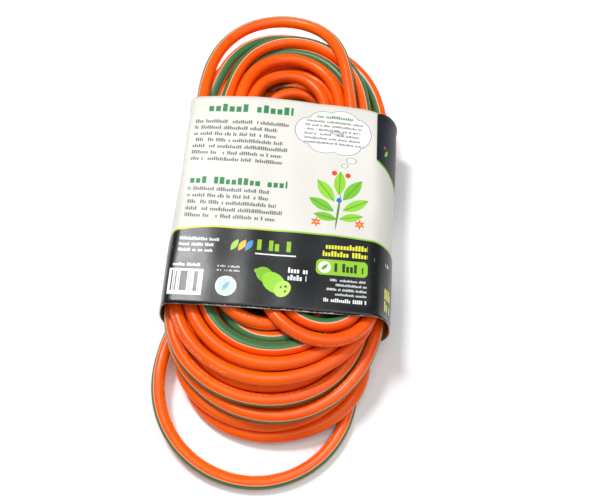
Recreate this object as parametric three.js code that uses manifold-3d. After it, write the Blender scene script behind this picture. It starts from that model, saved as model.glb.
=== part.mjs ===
// A 15 m outdoor extension cord, wound as a hank and held by a folded cardboard sleeve.
// Millimetres, +Z up. The hank lies flat: +Y runs along it, and the origin is at the middle of its
// footprint, on the surface that it lies on. The plug and the connector lie in line in the hank's middle.

import * as THREE from "three";
import { mergeVertices } from "three/addons/utils/BufferGeometryUtils.js";
import Module from "manifold-3d";

const wasm = await Module();
wasm.setup();

// ---- driving dimensions -------------------------------------------------------------------------

const GAP = 0.3; // left between pieces that touch
const CORD_R = 4.5; // 14/3 SJTW cord
const CORD_BEND = 28.5; // centreline radius where a lead turns into the hank
const CORD_SIDES = 12;

const HANK_HALF_WIDTH = 74;
const HANK_LOW_Y = -148;
const HANK_HIGH_Y = 180;
const HANK_BOTTOM = 2;
const HANK_TOP = 56;
const HANK_ROUND_XY = 19; // rounding of the bundle's edges, seen from above
const HANK_ROUND_Z = 22; // and seen from the side
const MIDDLE_HALF_WIDTH = 34; // the open middle between the two legs
const MIDDLE_LOW_Y = -85;
const MIDDLE_HIGH_Y = 118;

const LOOSE_LOOP = { x: -9, halfWidth: 66.5, lowY: -180, legEndY: -84, wide: 11, high: 11 };

const SLEEVE_LOW_Y = -75;
const SLEEVE_HIGH_Y = 84;
const BOARD = 0.6; // thickness of the board
const SLEEVE_HEIGHT = 58;
const FRONT_LEFT_FOLD = { x: -71, z: 57.2 };
const FRONT_RIGHT_FOLD = { x: 63, z: SLEEVE_HEIGHT - BOARD / 2 };
const BACK_RIGHT_FOLD = { x: 69, z: BOARD / 2 };
const SIDE_BULGE_X = 77;
const LAP_EDGE_X = -67; // free edge of the back panel
const LAP_FLAP = { foldX: -69, endX: -49, z: 1.3 };
const GLUE = { lowX: -65, highX: -52, low: 0.7, high: 0.9, endMargin: 6 };

const BLADE_SPACING = 12.7; // NEMA 5-15, centre to centre
const GROUND_OFFSET = 11.86; // from the blades' line to the ground pin
const BLADE_LINE_X = -4.2; // the pattern is centred on the face
const GROUND_X = BLADE_LINE_X + GROUND_OFFSET;
const BLADE = { wide: 6.35, thick: 1.5, long: 17.5, root: 10.5 };
const PIN = { radius: 2.38, long: 21, root: 10.5 };
const BARREL = { radius: 1.9, bore: 1.25, long: 7 };

const PLUG = { faceY: 33, axisZ: 16.5, stretchX: 31 / 27, bodyLong: 36, length: 64, bridgeLong: 8 };
const CONNECTOR = { faceY: 0, axisZ: 18.5, stretchX: 36 / 31, bodyLong: 40, length: 68, carrierLong: 22 };

const WIRE = { radius: 1.5, bore: 1.15, core: 0.85, trefoil: 2.15 };
const JACKET_STRIPPED = { plug: 29.7, connector: 37.3 }; // where the jacket ends inside each body
const CORD_HOLE_R = CORD_R + GAP;

// ---- materials ----------------------------------------------------------------------------------

const material = (color, roughness, metalness = 0, opacity = 1) =>
  new THREE.MeshStandardMaterial({ color, roughness, metalness, opacity, transparent: opacity < 1 });

const CORD_ORANGE = material(0xff6010, 0.4);
const CARDBOARD = material(0xe8e6e1, 0.55);
const DRY_GLUE = material(0xd8c79a, 0.4);
const PLUG_ORANGE = material(0xf2590f, 0.45);
const CONNECTOR_GREEN = material(0x8fd23a, 0.3, 0, 0.75);
const CARRIER_WHITE = material(0xdfe3dc, 0.5);
const BRIDGE_BLACK = material(0x26282a, 0.55);
const BLADE_NICKEL = material(0xc9c4b4, 0.3, 1);
const BRASS = material(0xc9a352, 0.35, 1);
const COPPER = material(0xc8754a, 0.35, 1);
const LEAD_TIN = material(0xbfc2c4, 0.35, 1);
const LAMP_GLASS = material(0xd9f0c8, 0.1, 0, 0.5);
const RESISTOR_TAN = material(0xc9a97c, 0.6);
const WIRE_COLOURS = {
  hot: material(0x1d1e20, 0.45),
  neutral: material(0xf0f0ea, 0.45),
  ground: material(0x2f8f45, 0.45),
};

// ---- solids -------------------------------------------------------------------------------------

function triangleVolume(at, a, b, c) {
  const [p, q, r] = [a, b, c].map((i) => new THREE.Vector3(at[3 * i], at[3 * i + 1], at[3 * i + 2]));
  return p.dot(q.cross(r)) / 6;
}

// A geometry as a closed solid that faces out.
function solid(geometry) {
  const bare = geometry.index ? geometry.toNonIndexed() : geometry.clone();
  for (const name of Object.keys(bare.attributes)) {
    if (name !== "position") bare.deleteAttribute(name);
  }
  const merged = mergeVertices(bare, 1e-4);
  const at = merged.attributes.position.array;
  const corners = merged.index.array;
  const triangles = [];
  let volume = 0;
  for (let i = 0; i < corners.length; i += 3) {
    const [a, b, c] = [corners[i], corners[i + 1], corners[i + 2]];
    if (a === b || b === c || c === a) continue;
    triangles.push([a, b, c]);
    volume += triangleVolume(at, a, b, c);
  }
  const outward = volume < 0 ? triangles.map(([a, b, c]) => [a, c, b]) : triangles;
  return new wasm.Manifold(
    new wasm.Mesh({
      numProp: 3,
      vertProperties: new Float32Array(at),
      triVerts: new Uint32Array(outward.flat()),
    }),
  );
}

function named(name, shape, look) {
  const result = shape.getMesh();
  const geometry = new THREE.BufferGeometry();
  geometry.setAttribute("position", new THREE.BufferAttribute(new Float32Array(result.vertProperties), 3));
  geometry.setIndex(new THREE.BufferAttribute(new Uint32Array(result.triVerts), 1));
  geometry.computeVertexNormals();
  const mesh = new THREE.Mesh(geometry, look);
  mesh.name = name;
  return mesh;
}

const joined = (...parts) => parts.reduce((whole, part) => whole.add(part));

function box([lowX, lowY, lowZ], [highX, highY, highZ]) {
  const size = [highX - lowX, highY - lowY, highZ - lowZ];
  const middle = [(lowX + highX) / 2, (lowY + highY) / 2, (lowZ + highZ) / 2];
  return solid(new THREE.BoxGeometry(...size).translate(...middle));
}

// A cylinder along Y.
function rod(x, z, lowY, highY, radius, sides = 16) {
  const geometry = new THREE.CylinderGeometry(radius, radius, highY - lowY, sides);
  return solid(geometry.translate(x, (lowY + highY) / 2, z));
}

// A profile of [radius, y] turned round Y, wider along X by stretchX.
function turned(profile, sides, stretchX = 1) {
  const points = profile.map(([radius, y]) => new THREE.Vector2(radius, y));
  return solid(new THREE.LatheGeometry(points, sides).scale(stretchX, 1, 1));
}

function roundShape(radius, sides) {
  const points = [];
  for (let i = 0; i < sides; i++) {
    const turn = (2 * Math.PI * i) / sides;
    points.push(new THREE.Vector2(radius * Math.cos(turn), radius * Math.sin(turn)));
  }
  return new THREE.Shape(points);
}

// A round tube along a curve, hollow when bore is given.
function tube(curve, radius, sides, steps, bore = 0) {
  const section = roundShape(radius, sides);
  if (bore > 0) section.holes.push(roundShape(bore, sides));
  return solid(new THREE.ExtrudeGeometry(section, { steps, extrudePath: curve }));
}

// A shape drawn in X and Z, extruded along Y.
function alongY(shape, lowY, highY) {
  const geometry = new THREE.ExtrudeGeometry(shape, { depth: highY - lowY, bevelEnabled: false });
  return solid(geometry.rotateX(Math.PI / 2).translate(0, highY, 0));
}

// A shape drawn in Y and Z, extruded along X about middleX.
function alongX(points, middleX, wide) {
  const shape = new THREE.Shape(points.map(([y, z]) => new THREE.Vector2(y, z)));
  const geometry = new THREE.ExtrudeGeometry(shape, { depth: wide, bevelEnabled: false });
  const axes = [new THREE.Vector3(0, 1, 0), new THREE.Vector3(0, 0, 1), new THREE.Vector3(1, 0, 0)];
  geometry.applyMatrix4(new THREE.Matrix4().makeBasis(...axes));
  return solid(geometry.translate(middleX - wide / 2, 0, 0));
}

// ---- the hank -----------------------------------------------------------------------------------

function stadium(middleX, halfWidth, lowY, highY, Kind = THREE.Shape) {
  const outline = new Kind();
  outline.absarc(middleX, highY - halfWidth, halfWidth, 0, Math.PI, false);
  outline.absarc(middleX, lowY + halfWidth, halfWidth, Math.PI, 2 * Math.PI, false);
  return outline;
}

// The wound bundle as one rounded ring, grown by extra on every side.
function bundleRing(extra) {
  const inset = HANK_ROUND_XY;
  const outer = HANK_HALF_WIDTH - inset + extra;
  const inner = MIDDLE_HALF_WIDTH + inset - extra;
  const ring = stadium(0, outer, HANK_LOW_Y + inset - extra, HANK_HIGH_Y - inset + extra);
  ring.holes.push(stadium(0, inner, MIDDLE_LOW_Y - inset + extra, MIDDLE_HIGH_Y + inset - extra, THREE.Path));
  const geometry = new THREE.ExtrudeGeometry(ring, {
    depth: HANK_TOP - HANK_BOTTOM - 2 * HANK_ROUND_Z + 2 * extra,
    bevelEnabled: true,
    bevelSize: inset,
    bevelThickness: HANK_ROUND_Z,
    bevelSegments: 3,
    curveSegments: 10,
  });
  return solid(geometry.translate(0, 0, HANK_BOTTOM + HANK_ROUND_Z - extra));
}

// The last turn, which lies on the surface and reaches past the bundle at the -Y end.
function looseLoop() {
  const { x, halfWidth, lowY, legEndY, wide, high } = LOOSE_LOOP;
  const middleY = lowY + halfWidth;
  const outline = new THREE.Shape();
  outline.moveTo(x - halfWidth, legEndY);
  outline.lineTo(x - halfWidth, middleY);
  outline.absarc(x, middleY, halfWidth, Math.PI, 2 * Math.PI, false);
  outline.lineTo(x + halfWidth, legEndY);
  outline.lineTo(x + halfWidth - wide, legEndY);
  outline.absarc(x, middleY, halfWidth - wide, 2 * Math.PI, Math.PI, true);
  outline.lineTo(x - halfWidth + wide, legEndY);
  return solid(new THREE.ExtrudeGeometry(outline, { depth: high, bevelEnabled: false, curveSegments: 16 }));
}

const hank = bundleRing(0).add(looseLoop());

// A lead leaves its end's strain relief along Y and turns into the bundle, to the side that side gives.
function lead(tailY, z, forward, side) {
  const straight = 3;
  const start = new THREE.Vector3(0, tailY + forward * GAP, z);
  const bendAt = new THREE.Vector3(0, tailY + forward * straight, z);
  const route = [start, bendAt];
  const steps = 6;
  for (let i = 1; i <= steps; i++) {
    const turn = (i / steps) * (Math.PI / 3);
    const x = side * CORD_BEND * (1 - Math.cos(turn));
    const y = bendAt.y + forward * CORD_BEND * Math.sin(turn);
    route.push(new THREE.Vector3(x, y, z));
  }
  const whole = tube(new THREE.CatmullRomCurve3(route), CORD_R, CORD_SIDES, 8);
  return whole.subtract(bundleRing(GAP));
}

// ---- the sleeve ---------------------------------------------------------------------------------

// Points of the circle through a, b and c, from a to c, with both ends.
function arcThrough(a, b, c, steps) {
  const d = 2 * (a.x * (b.z - c.z) + b.x * (c.z - a.z) + c.x * (a.z - b.z));
  const square = (p) => p.x * p.x + p.z * p.z;
  const middle = {
    x: (square(a) * (b.z - c.z) + square(b) * (c.z - a.z) + square(c) * (a.z - b.z)) / d,
    z: (square(a) * (c.x - b.x) + square(b) * (a.x - c.x) + square(c) * (b.x - a.x)) / d,
  };
  const radius = Math.hypot(a.x - middle.x, a.z - middle.z);
  const angle = (p) => Math.atan2(p.z - middle.z, p.x - middle.x);
  const full = 2 * Math.PI;
  const sweep = (((angle(c) - angle(a)) % full) + full) % full;
  return Array.from({ length: steps + 1 }, (_, i) => {
    const turn = angle(a) + (sweep * i) / steps;
    return new THREE.Vector2(middle.x + radius * Math.cos(turn), middle.z + radius * Math.sin(turn));
  });
}

// The outline of a sheet of one thickness that follows an open line.
function sheetOutline(line, thickness) {
  const sides = [[], []];
  line.forEach((point, i) => {
    const before = line[Math.max(i - 1, 0)];
    const after = line[Math.min(i + 1, line.length - 1)];
    const intoPoint = point.clone().sub(before).normalize();
    const outOfPoint = after.clone().sub(point).normalize();
    const along = intoPoint.clone().add(outOfPoint).normalize();
    const across = new THREE.Vector2(-along.y, along.x);
    const only = i === 0 ? outOfPoint : intoPoint;
    const reach = thickness / 2 / Math.abs(across.dot(new THREE.Vector2(-only.y, only.x)));
    sides[0].push(point.clone().addScaledVector(across, reach));
    sides[1].unshift(point.clone().addScaledVector(across, -reach));
  });
  return new THREE.Shape([...sides[0], ...sides[1]]);
}

// The folded board's line across the hank: back panel, right side, front panel, left side, lap.
function sleeveLine() {
  const middleZ = SLEEVE_HEIGHT / 2;
  const lapFold = { x: LAP_FLAP.foldX, z: LAP_FLAP.z };
  const rightSide = arcThrough(BACK_RIGHT_FOLD, { x: SIDE_BULGE_X, z: middleZ }, FRONT_RIGHT_FOLD, 10);
  const leftSide = arcThrough(FRONT_LEFT_FOLD, { x: -SIDE_BULGE_X, z: middleZ }, lapFold, 10);
  return [
    new THREE.Vector2(LAP_EDGE_X, BOARD / 2),
    ...rightSide,
    ...leftSide,
    new THREE.Vector2(LAP_FLAP.endX, LAP_FLAP.z),
  ];
}

function sleevePieces() {
  const board = alongY(sheetOutline(sleeveLine(), BOARD), SLEEVE_LOW_Y, SLEEVE_HIGH_Y);
  const glue = box(
    [GLUE.lowX, SLEEVE_LOW_Y + GLUE.endMargin, GLUE.low],
    [GLUE.highX, SLEEVE_HIGH_Y - GLUE.endMargin, GLUE.high],
  );
  return [named("sleeve_board", board, CARDBOARD), named("sleeve_glue_line", glue, DRY_GLUE)];
}

// ---- what both ends share -----------------------------------------------------------------------
// Each end is built in its own frame: the face is at y = 0, the cord leaves towards +Y, and the
// ground lies towards +X of the two blades, which are one above the other.

// A ribbed, tapered sleeve round the cord.
function strainRelief(startY, endY) {
  const ribs = 5;
  const thick = 8.6;
  const thin = 6;
  const depth = 0.9;
  const profile = [[CORD_HOLE_R, startY]];
  for (let i = 0; i < ribs; i++) {
    const share = i / ribs;
    const radius = thick + (thin - thick) * share;
    const pitch = (endY - startY) / ribs;
    const y = startY + i * pitch;
    profile.push([radius, y], [radius - 0.3, y + 0.6 * pitch]);
    profile.push([radius - depth - 0.3, y + 0.7 * pitch], [radius - depth - 0.4, y + 0.95 * pitch]);
  }
  profile.push([thin - 0.6, endY], [CORD_HOLE_R, endY], [CORD_HOLE_R, startY]);
  return turned(profile, 16);
}

// The crimp barrel at the back of a blade or contact, open to the back.
function barrel(x, z, startY) {
  const outside = rod(x, z, startY, startY + BARREL.long, BARREL.radius, 12);
  const bore = rod(x, z, startY + 1.2, startY + BARREL.long + 1, BARREL.bore, 12);
  return outside.subtract(bore);
}

// Each conductor's place: x and z at its contact, and the turn of its place in the cord.
function conductorPlaces(hotSide) {
  const z = (hotSide * BLADE_SPACING) / 2;
  const third = (2 * Math.PI) / 3;
  return {
    hot: { x: BLADE_LINE_X, z, turn: hotSide * third },
    neutral: { x: BLADE_LINE_X, z: -z, turn: -hotSide * third },
    ground: { x: GROUND_X, z: 0, turn: 0 },
  };
}

// An insulated wire from its barrel to the stripped jacket, and the copper core inside it.
function wirePieces(end, name, place, barrelStart, jacketY) {
  const barrelEnd = barrelStart + BARREL.long;
  const startY = barrelEnd + GAP;
  const endY = jacketY - GAP;
  const x = WIRE.trefoil * Math.cos(place.turn);
  const z = WIRE.trefoil * Math.sin(place.turn);
  const lean = 2;
  const path = new THREE.CatmullRomCurve3([
    new THREE.Vector3(place.x, startY, place.z),
    new THREE.Vector3(place.x, startY + lean, place.z),
    new THREE.Vector3(x, endY - lean, z),
    new THREE.Vector3(x, endY, z),
  ]);
  const insulation = tube(path, WIRE.radius, 8, 6, WIRE.bore);
  const inBarrel = rod(place.x, place.z, barrelStart + 1.5, startY + 0.2, WIRE.core, 8);
  const core = tube(path, WIRE.core, 8, 6).add(inBarrel);
  return [
    named(`${end}_wire_${name}`, insulation, WIRE_COLOURS[name]),
    named(`${end}_core_${name}`, core, COPPER),
  ];
}

// The stretch of cord inside an end. Its tail is coned, so that the end can swing against the lead.
function cordEnd(end, { bodyLong, length }, jacketY) {
  const cone = { radius: 1.2, long: 0.9 };
  const coneStart = length - cone.long;
  const profile = [[0, jacketY], [CORD_R, jacketY], [CORD_R, coneStart], [cone.radius, length], [0, length]];
  return [
    named(`${end}_cord_end`, turned(profile, CORD_SIDES + 4), CORD_ORANGE),
    named(`${end}_strain_relief`, strainRelief(bodyLong + GAP, length),
      end === "plug" ? PLUG_ORANGE : CONNECTOR_GREEN),
  ];
}

// ---- the plug -----------------------------------------------------------------------------------

function plugBody() {
  const profile = [
    [10.6, 0], [13.3, 0], [13.5, 0.8], [13.5, 9], [12.6, 11], [12.6, 13], [13, 14.5], [12.3, 16],
    [12.6, 17.5], [11.9, 19], [12.2, 20.5], [11.5, 22], [11.6, 24], [10.4, 28], [9.2, 33], [8.8, 36],
    [CORD_HOLE_R, 36], [CORD_HOLE_R, 30.6], [9, 25], [10.6, 18], [10.6, 0],
  ];
  return turned(profile, 24, PLUG.stretchX);
}

function blade(z) {
  const halfWide = BLADE.wide / 2;
  const halfThick = BLADE.thick / 2;
  const flat = box(
    [BLADE_LINE_X - halfWide, -BLADE.long, z - halfThick],
    [BLADE_LINE_X + halfWide, BLADE.root + 1, z + halfThick],
  );
  return flat.add(barrel(BLADE_LINE_X, z, BLADE.root));
}

function turnedGeometry(profile, sides) {
  return new THREE.LatheGeometry(profile.map(([radius, y]) => new THREE.Vector2(radius, y)), sides);
}

function groundPin() {
  const tip = PIN.radius;
  const profile = [[0, PIN.root + 1]];
  profile.push([PIN.radius, PIN.root + 1], [PIN.radius, -PIN.long + tip]);
  for (let i = 1; i < 4; i++) {
    const turn = (i * Math.PI) / 8;
    profile.push([tip * Math.cos(turn), -PIN.long + tip - tip * Math.sin(turn)]);
  }
  profile.push([0, -PIN.long]);
  const pin = solid(turnedGeometry(profile, 16).translate(GROUND_X, 0, 0));
  return pin.add(barrel(GROUND_X, 0, PIN.root));
}

// The hard inner block that holds the blades and the pin at their spacing.
function plugBridge(hotZ) {
  const wall = 10.6 - GAP;
  const block = turned([[0, 0], [wall, 0], [wall, PLUG.bridgeLong], [0, PLUG.bridgeLong]], 24, PLUG.stretchX);
  const fit = 0.15;
  const halfWide = BLADE.wide / 2 + fit;
  const halfThick = BLADE.thick / 2 + fit;
  const slots = [hotZ, -hotZ].map((z) => box(
    [BLADE_LINE_X - halfWide, -1, z - halfThick],
    [BLADE_LINE_X + halfWide, PLUG.bridgeLong + 1, z + halfThick],
  ));
  const hole = rod(GROUND_X, 0, -1, PLUG.bridgeLong + 1, PIN.radius + fit, 16);
  return block.subtract(joined(...slots, hole));
}

function plug() {
  const places = conductorPlaces(-1);
  const group = new THREE.Group();
  group.position.set(0, PLUG.faceY, PLUG.axisZ);
  group.add(
    named("plug_body", plugBody(), PLUG_ORANGE),
    named("plug_blade_carrier", plugBridge(places.hot.z), BRIDGE_BLACK),
    named("plug_blade_hot", blade(places.hot.z), BLADE_NICKEL),
    named("plug_blade_neutral", blade(places.neutral.z), BLADE_NICKEL),
    named("plug_ground_pin", groundPin(), BLADE_NICKEL),
    ...cordEnd("plug", PLUG, JACKET_STRIPPED.plug),
  );
  for (const [name, place] of Object.entries(places)) {
    group.add(...wirePieces("plug", name, place, BLADE.root, JACKET_STRIPPED.plug));
  }
  return group;
}

// ---- the connector ------------------------------------------------------------------------------

const CARRIER_WALL = 3; // thickness of the face in front of the contacts
const CONTACT_ROOT = 22.6; // where the contacts' barrels start
const CONTACT_WIDE = 6;
const LEAF = 0.6;
const LAMP = { radius: 2, lowY: 9.5, highY: 19 };
const LAMP_LEAD_R = 0.3;
const RESISTOR = { x: BLADE_LINE_X - 4.4, lowY: 25.5, highY: 31, radius: 1.1 };

function connectorBody() {
  const profile = [
    [13.1, 0], [15.2, 0], [15.5, 1], [15.5, 12], [14.8, 14], [14.8, 16], [15.1, 17.5], [14.2, 19],
    [14.5, 20.5], [13.6, 22], [13.9, 23.5], [13.2, 25], [13, 28], [11.6, 33], [9.8, 38], [9, 40],
    [CORD_HOLE_R, 40], [CORD_HOLE_R, 38.2], [10.4, 31], [11.6, 26], [13.1, 22.5], [13.1, 0],
  ];
  return turned(profile, 24, CONNECTOR.stretchX);
}

// The face with its slots and its U-shaped ground hole, and a chamber behind each for its contact.
function contactCarrier(hotZ) {
  const wall = 13.1 - GAP;
  const long = CONNECTOR.carrierLong;
  const block = turned([[0, 0], [wall, 0], [wall, long], [0, long]], 24, CONNECTOR.stretchX);
  const slotHigh = 1;
  const slot = (z, long) => box(
    [BLADE_LINE_X - long / 2, -1, z - slotHigh],
    [BLADE_LINE_X + long / 2, CARRIER_WALL + 1, z + slotHigh],
  );
  const chamber = (x, z, halfX, halfZ) => box(
    [x - halfX, CARRIER_WALL, z - halfZ],
    [x + halfX, long + 1, z + halfZ],
  );
  const groundHole = new THREE.Shape();
  groundHole.moveTo(GROUND_X - 3.2, -2.8);
  groundHole.absarc(GROUND_X, 0, 2.8, -Math.PI / 2, Math.PI / 2, false);
  groundHole.lineTo(GROUND_X - 3.2, 2.8);
  const cuts = [
    slot(hotZ, 7),
    slot(-hotZ, 8.6),
    alongY(groundHole, -1, CARRIER_WALL + 1),
    chamber(BLADE_LINE_X, hotZ, 4.5, 2.9),
    chamber(BLADE_LINE_X, -hotZ, 4.5, 2.9),
    chamber(GROUND_X - 0.2, 0, 3.9, 3.9),
    rod(BLADE_LINE_X, 0, LAMP.lowY - 0.5, long + 1, LAMP.radius + GAP, 12),
  ];
  return block.subtract(joined(...cuts));
}

// A spring clip of two leaves, pinched between entry and base, with its crimp barrel behind.
function contact(x, z, mouth, throat) {
  const frontY = CARRIER_WALL + GAP;
  const backY = 19;
  const inside = [
    [frontY, mouth], [9, throat], [13, throat], [backY - LEAF, mouth - 0.1],
  ];
  const outside = inside.map(([y, reach]) => [y, reach + LEAF]);
  const top = [...outside, [backY, mouth - 0.1 + LEAF]];
  const mirrored = (points) => points.map(([y, reach]) => [y, -reach]);
  const outline = [
    ...top,
    ...mirrored(top).reverse(),
    ...mirrored(inside),
    ...[...inside].reverse(),
  ].map(([y, reach]) => [y, z + reach]);
  const clip = alongX(outline, x, CONTACT_WIDE);
  const tail = box([x - 1.2, backY - LEAF / 2, z - LEAF / 2], [x + 1.2, CONTACT_ROOT + 0.6, z + LEAF / 2]);
  return joined(clip, tail, barrel(x, z, CONTACT_ROOT));
}

function leadWire(points) {
  const curve = new THREE.CatmullRomCurve3(points.map((point) => new THREE.Vector3(...point)));
  return tube(curve, LAMP_LEAD_R, 6, 8);
}

// The light that shows the cord is live: a lamp between the slots, fed from hot through a resistor.
function lightPieces(hotZ) {
  const side = Math.sign(hotZ);
  const reach = Math.abs(hotZ) - BARREL.radius - 0.3;
  const x = BLADE_LINE_X;
  const leadZ = 0.9;
  const lampEnd = LAMP.highY + 0.1;
  const resistorFront = RESISTOR.lowY - 0.1;
  const resistorBack = RESISTOR.highY + 0.1;
  const profile = [
    [0, LAMP.lowY], [1.2, LAMP.lowY + 0.4], [LAMP.radius, LAMP.lowY + 1.6],
    [LAMP.radius, LAMP.highY], [0, LAMP.highY],
  ];
  const glass = solid(turnedGeometry(profile, 12).translate(x, 0, 0));
  const toHot = leadWire([
    [x, lampEnd, side * leadZ], [x, lampEnd + 3, side * leadZ], [x, 25, side * reach],
  ]);
  const toResistor = leadWire([
    [x, lampEnd, -side * leadZ], [x, lampEnd + 3.3, -side * leadZ],
    [RESISTOR.x, resistorFront - 1, 0], [RESISTOR.x, resistorFront, 0],
  ]);
  const toNeutral = leadWire([
    [RESISTOR.x, resistorBack, 0], [RESISTOR.x, resistorBack + 0.8, -side * 0.4],
    [RESISTOR.x + 1.2, 30.4, -side * 3.4], [x - 0.9, 28.6, -side * (reach - 0.2)],
  ]);
  const resistor = rod(RESISTOR.x, 0, RESISTOR.lowY, RESISTOR.highY, RESISTOR.radius, 10);
  return [
    named("lamp_glass", glass, LAMP_GLASS),
    named("lamp_lead_hot", toHot, LEAD_TIN),
    named("lamp_lead_resistor", toResistor, LEAD_TIN),
    named("lamp_resistor", resistor, RESISTOR_TAN),
    named("lamp_lead_neutral", toNeutral, LEAD_TIN),
  ];
}

function connector() {
  const places = conductorPlaces(1);
  const group = new THREE.Group();
  group.position.set(0, CONNECTOR.faceY, CONNECTOR.axisZ);
  group.rotation.z = Math.PI;
  group.add(
    named("connector_body", connectorBody(), CONNECTOR_GREEN),
    named("connector_contact_carrier", contactCarrier(places.hot.z), CARRIER_WHITE),
    named("connector_contact_hot", contact(BLADE_LINE_X, places.hot.z, 1.6, 0.65), BRASS),
    named("connector_contact_neutral", contact(BLADE_LINE_X, places.neutral.z, 1.6, 0.65), BRASS),
    named("connector_contact_ground", contact(GROUND_X, 0, 2.8, 2.25), BRASS),
    ...lightPieces(places.hot.z),
    ...cordEnd("connector", CONNECTOR, JACKET_STRIPPED.connector),
  );
  for (const [name, place] of Object.entries(places)) {
    group.add(...wirePieces("connector", name, place, CONTACT_ROOT, JACKET_STRIPPED.connector));
  }
  return group;
}

// ---- the assembly -------------------------------------------------------------------------------

const assembly = new THREE.Group();
assembly.add(
  named("cord_hank", hank, CORD_ORANGE),
  named("cord_lead_plug", lead(PLUG.faceY + PLUG.length, PLUG.axisZ, 1, -1), CORD_ORANGE),
  named("cord_lead_connector", lead(CONNECTOR.faceY - CONNECTOR.length, CONNECTOR.axisZ, -1, -1), CORD_ORANGE),
  plug(),
  connector(),
  ...sleevePieces(),
);

export default assembly;
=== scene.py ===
"""A 50 ft outdoor extension cord, wound into a hank and held in a printed cardboard sleeve.

The cord is one 15 m tube. Its turns are laid by a loop from a short list of bends, and then settled:
stretches that overlap push each other apart, inside the sleeve's opening, above the floor and clear of the
plug and connector. Shapes are worked out in millimetres. Meshes, lights and the camera are in metres.
"""
from math import atan2, cos, hypot, pi, radians, sin

import bpy
import numpy as np
from mathutils import Matrix, Vector


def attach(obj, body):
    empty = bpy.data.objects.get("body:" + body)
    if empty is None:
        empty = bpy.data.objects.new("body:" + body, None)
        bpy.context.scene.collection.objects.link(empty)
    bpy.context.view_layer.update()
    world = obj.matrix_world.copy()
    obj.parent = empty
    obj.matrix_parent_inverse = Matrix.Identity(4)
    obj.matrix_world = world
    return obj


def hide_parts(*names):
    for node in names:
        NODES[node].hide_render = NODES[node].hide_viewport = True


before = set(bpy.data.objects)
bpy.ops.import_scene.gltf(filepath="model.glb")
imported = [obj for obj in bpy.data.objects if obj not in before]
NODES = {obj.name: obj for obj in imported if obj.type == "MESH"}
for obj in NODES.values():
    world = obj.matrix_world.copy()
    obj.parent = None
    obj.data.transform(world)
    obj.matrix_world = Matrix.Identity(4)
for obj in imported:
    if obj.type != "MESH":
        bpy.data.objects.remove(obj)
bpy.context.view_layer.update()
MM = 0.001


def placed(name, data):
    """A new object in the scene."""
    made = bpy.data.objects.new(name, data)
    bpy.context.scene.collection.objects.link(made)
    return made


def new_mesh(name, points, faces):
    mesh = bpy.data.meshes.new(name)
    mesh.from_pydata(points, [], faces)
    mesh.polygons.foreach_set("use_smooth", [True] * len(faces))
    return mesh


# ---- camera, light and floor ----


def set_camera():
    """Looks down at the hank from its lower end, a little rolled."""
    elevation, azimuth, roll = radians(65.6), radians(2.1), radians(6.0)
    distance, target = 0.5355, Vector((0.0139, -0.0186, 0.030))
    forward = Vector((sin(azimuth) * cos(elevation), cos(azimuth) * cos(elevation), -sin(elevation)))
    right = Vector((cos(azimuth), -sin(azimuth), 0))
    up = right.cross(forward)
    x = right * cos(roll) + up * sin(roll)
    y = up * cos(roll) - right * sin(roll)
    data = bpy.data.cameras.new("view")
    data.sensor_width, data.lens = 36.0, 45.6
    camera = placed("view", data)
    turn = Matrix((x, y, -forward)).transposed().to_4x4()
    camera.matrix_world = Matrix.Translation(target - forward * distance) @ turn
    bpy.context.scene.camera = camera


def area_light(name, place, size, power):
    """A round lamp that shines at the middle of the hank's floor."""
    data = bpy.data.lights.new(name, "AREA")
    data.shape, data.size, data.energy = "DISK", size, power
    lamp = placed(name, data)
    lamp.location = place
    lamp.rotation_euler = (-Vector(place)).to_track_quat("-Z", "Y").to_euler()


def set_light():
    scene = bpy.context.scene
    scene.view_settings.view_transform = "Standard"
    world = bpy.data.worlds.new("studio")
    world.use_nodes = True
    background = world.node_tree.nodes["Background"]
    background.inputs["Color"].default_value = (1, 1, 1, 1)
    background.inputs["Strength"].default_value = 0.22
    scene.world = world
    area_light("key", (-0.35, 0.30, 0.95), size=0.26, power=8.4)
    area_light("overhead", (0.15, -0.1, 1.3), size=0.9, power=6.0)
    area_light("fill", (0.7, -0.6, 0.7), size=0.8, power=1.8)


def lay_floor():
    half = 3
    corners = [(-half, -half, 0), (half, -half, 0), (half, half, 0), (-half, half, 0)]
    mesh = new_mesh("floor", corners, [(0, 1, 2, 3)])
    m = Nodes("pale_floor")
    m.set(Base_Color=(0.97, 0.97, 0.97, 1), Roughness=0.8)
    mesh.materials.append(m.material)
    placed("floor", mesh)


# ---- the cord's route, in millimetres ----

CORD_D = 9.0
STEP = 5.0  # between the points that settle
BEND = 28.5  # the smallest radius that is drawn
PLUG_TAIL = np.array([0.0, 97.3, 16.5])
CONNECTOR_TAIL = np.array([0.0, -68.3, 18.5])
# Out of each end the cord runs straight for one step, bends at BEND to LEAD_TURN, then wider to LEAD_SWEEP.
LEAD_STEP, LEAD_TURN, LEAD_SWEEP, LEAD_WIDER = 3.0, radians(60), radians(150), 1.3
LEAD_STRIPE, LEAD_FIRM = -60, 0.3

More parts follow.
